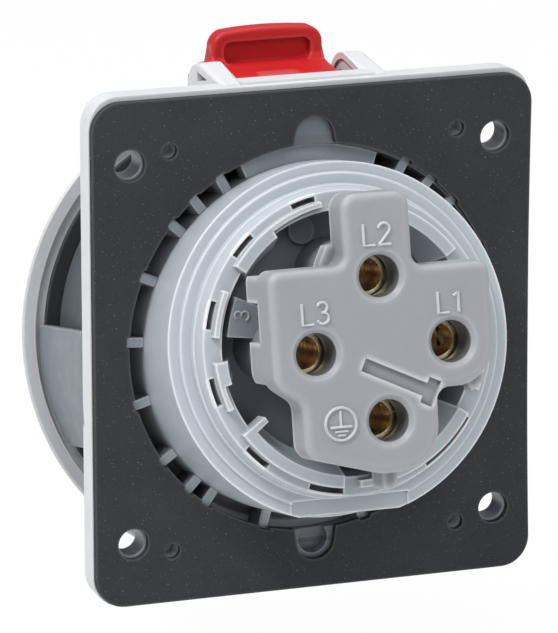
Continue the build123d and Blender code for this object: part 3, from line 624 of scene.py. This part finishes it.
def raise_edge(x, z):
    """The flange's top edge stands above the gasket's on both sides of the ears."""
    rise = share_between(z, EDGE_LOW, EDGE_HIGH) * (1 - share_between(z, EDGE_TOP, EAR_START))
    return (0.0, EDGE_RISE * rise if abs(x) > BESIDE_EARS else 0.0)


def trimmed(node, name, mat, body, shift):
    """A copy of the node with its points moved by shift(x, z), shown in its place."""
    source = NODES[node]
    mesh = source.data.copy()
    mesh.name = name
    for v in mesh.vertices:
        right, up = shift(v.co.x / MM, v.co.z / MM)
        v.co.x += right * MM
        v.co.z += up * MM
    obj = bpy.data.objects.new(name, mesh)
    bpy.context.collection.objects.link(obj)
    obj.matrix_world = source.matrix_world.copy()
    finish_piece(obj, mat, body)
    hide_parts(node)
    return obj


trimmed("latch_lever", "latch_plate", RED, "latch", lower_plate)
trimmed("flange_housing", "flange_body", HOUSING, "housing", raise_edge)


# ---------------------------------------------------------------- stage, light and camera

def white_where_seen(name, strength, lit):
    """Pale matt surface that looks white to the camera, with part of the object's shadow kept."""
    s = Shader(name)
    coords = s.add("ShaderNodeTexCoord").outputs["Object"]
    diffuse = s.add("ShaderNodeBsdfDiffuse")
    tone = mix_colour(s, remap(s, noise(s, coords, 3.0), 0.0, 1.0), (0.84, 0.84, 0.85, 1.0),
                      (0.88, 0.88, 0.88, 1.0))
    s.link(tone, diffuse.inputs["Color"])
    glow = s.add("ShaderNodeEmission")
    glow.inputs["Color"].default_value = (1.0, 1.0, 1.0, 1.0)
    glow.inputs["Strength"].default_value = strength
    path = s.add("ShaderNodeLightPath")
    seen = math(s, "MAXIMUM", path.outputs["Is Camera Ray"], path.outputs["Is Glossy Ray"])
    seen = math(s, "MAXIMUM", seen, path.outputs["Is Transmission Ray"])
    blend = s.add("ShaderNodeMixShader")
    s.link(math(s, "MULTIPLY", seen, lit), blend.inputs[0])
    s.link(diffuse.outputs[0], blend.inputs[1])
    s.link(glow.outputs[0], blend.inputs[2])
    s.link(blend.outputs[0], s.out.inputs["Surface"])
    return s.mat


floor_mesh = bpy.data.meshes.new("studio_floor")
floor_bm = bmesh.new()
bmesh.ops.create_grid(floor_bm, x_segments=8, y_segments=8, size=4.0)
floor_bm.to_mesh(floor_mesh)
floor_bm.free()
floor = bpy.data.objects.new("studio_floor", floor_mesh)
floor.location = (0, 0, CAD_BOX[0][2] - 0.012)
bpy.context.collection.objects.link(floor)
floor_mesh.materials.append(white_where_seen("studio_floor", 1.02, 0.94))

world = bpy.data.worlds.new("studio")
bpy.context.scene.world = world
world.use_nodes = True
sky = world.node_tree
sky.nodes.clear()
sky_out = sky.nodes.new("ShaderNodeOutputWorld")
around = sky.nodes.new("ShaderNodeBackground")
around.inputs["Color"].default_value = (0.95, 0.97, 1.0, 1.0)
around.inputs["Strength"].default_value = 0.28
behind = sky.nodes.new("ShaderNodeBackground")
behind.inputs["Color"].default_value = (1.0, 1.0, 1.0, 1.0)
behind.inputs["Strength"].default_value = 1.0
path = sky.nodes.new("ShaderNodeLightPath")
mix = sky.nodes.new("ShaderNodeMixShader")
sky.links.new(path.outputs["Is Camera Ray"], mix.inputs[0])
sky.links.new(around.outputs[0], mix.inputs[1])
sky.links.new(behind.outputs[0], mix.inputs[2])
sky.links.new(mix.outputs[0], sky_out.inputs["Surface"])


def lamp(name, place, target, size, power, colour=(1.0, 1.0, 1.0)):
    data = bpy.data.lights.new(name, "AREA")
    data.shape = "RECTANGLE"
    data.size, data.size_y = size
    data.energy = power
    data.color = colour
    obj = bpy.data.objects.new(name, data)
    bpy.context.collection.objects.link(obj)
    obj.location = place
    obj.rotation_euler = (Vector(target) - Vector(place)).to_track_quat("-Z", "Y").to_euler()
    return obj


CAM_RIGHT = Vector((-0.93884, 0.344341, -0.003072))
CAM_UP = Vector((-0.085619, -0.224779, 0.970641))
CAM_BACK = Vector((0.333541, 0.911539, 0.240514))
CAM_PLACE = Vector((0.3858356, 1.0335793, 0.2781885))
CAM_LENS = 324.717
SENSOR = 36.0


def from_eye(right, up, back):
    """Point given along the camera's own axes, from the middle of the object, in metres."""
    return CAM_RIGHT * right + CAM_UP * up + CAM_BACK * back


lamp("key_soft", from_eye(-0.45, 0.7, 0.65), (0, 0, 0), (0.3, 0.3), 7.0)
lamp("front_soft", from_eye(0.3, 0.5, 1.0), (0, 0, 0), (0.5, 0.5), 2.8)
lamp("right_soft", from_eye(1.0, 0.3, -0.1), (0, 0, 0), (0.4, 0.9), 1.4)
lamp("top_soft", from_eye(0.0, 1.0, 0.1), (0, 0, 0), (0.9, 0.4), 3.8)

camera_data = bpy.data.cameras.new("photo_camera")
camera_data.sensor_fit = "VERTICAL"
camera_data.sensor_height = SENSOR
camera_data.lens = CAM_LENS
camera_data.clip_start = 0.01
camera_data.clip_end = 20.0
camera = bpy.data.objects.new("photo_camera", camera_data)
bpy.context.collection.objects.link(camera)
axes = Matrix((CAM_RIGHT, CAM_UP, CAM_BACK)).transposed().to_4x4()
camera.matrix_world = Matrix.Translation(CAM_PLACE) @ axes
bpy.context.scene.camera = camera
bpy.context.scene.view_settings.view_transform = "Standard"
